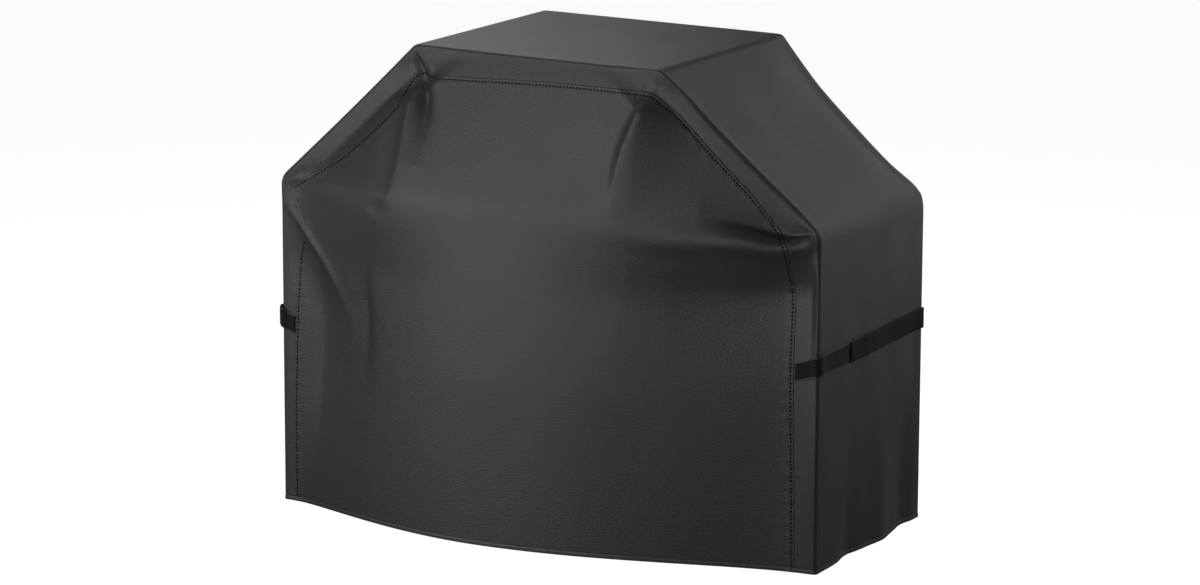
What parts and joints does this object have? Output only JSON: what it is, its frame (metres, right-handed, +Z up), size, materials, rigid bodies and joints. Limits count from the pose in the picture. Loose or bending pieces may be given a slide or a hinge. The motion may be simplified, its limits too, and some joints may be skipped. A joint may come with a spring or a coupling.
{
  "type": "grill cover",
  "caption": "Fitted cloth cover for a cart grill: flat top, sloping shoulders, swollen front, hook-and-loop straps at the sides.",
  "frame": {"origin": "on the ground plane of the hem, at the middle of the overall width and depth", "axes": "X across the width, Y from the swollen front (-) to the back (+), Z up"},
  "size_m": [1.4812, 0.777, 1.18],
  "materials": {
    "cloth": "coated charcoal oxford weave, slight sheen",
    "seam_tape": "heat-bonded film",
    "thread": "bonded thread",
    "webbing": "flat woven webbing",
    "loop_tape": "napped loop pile",
    "hook_tape": "moulded hooks"
  },
  "bodies": {
    "cover": {"front_panel": "cloth", "back_panel": "cloth", "top_and_side_band": "cloth", "front_seam_tape": "seam_tape", "back_seam_tape": "seam_tape", "front_seam_thread": "thread", "back_seam_thread": "thread", "front_dart_threads": "thread", "back_dart_threads": "thread", "right_tab_root": "cloth", "right_loop_tape_root": "loop_tape", "right_strap_root": "webbing", "left_tab_root": "cloth", "left_loop_tape_root": "loop_tape", "left_strap_root": "webbing"},
    "right_strap": {"right_strap": "webbing", "right_hook_patch": "hook_tape", "right_strap_thread": "thread"},
    "right_tab": {"right_tab": "cloth", "right_loop_tape": "loop_tape"},
    "left_strap": {"left_strap": "webbing", "left_hook_patch": "hook_tape", "left_strap_thread": "thread"},
    "left_tab": {"left_tab": "cloth", "left_loop_tape": "loop_tape"}
  },
  "joints": [
    {"name": "right_strap_open", "type": "hinge", "parent": "cover", "child": "right_strap", "pos_m": [0.7394, 0.3584, 0.505], "axis": [0, 0, 1], "range_deg": [0, 120]},
    {"name": "right_tab_open", "type": "hinge", "parent": "cover", "child": "right_tab", "pos_m": [0.7358, -0.2433, 0.505], "axis": [0, 0, -1], "range_deg": [0, 60]},
    {"name": "left_strap_open", "type": "hinge", "parent": "cover", "child": "left_strap", "pos_m": [-0.7394, 0.3584, 0.47], "axis": [0, 0, -1], "range_deg": [0, 120]},
    {"name": "left_tab_open", "type": "hinge", "parent": "cover", "child": "left_tab", "pos_m": [-0.7358, -0.2433, 0.47], "axis": [0, 0, 1], "range_deg": [0, 60]}
  ],
  "couplings": [
    {"joint": "right_tab_open", "follows": "right_strap_open", "ratio": 0.5},
    {"joint": "left_tab_open", "follows": "left_strap_open", "ratio": 0.5}
  ]
}
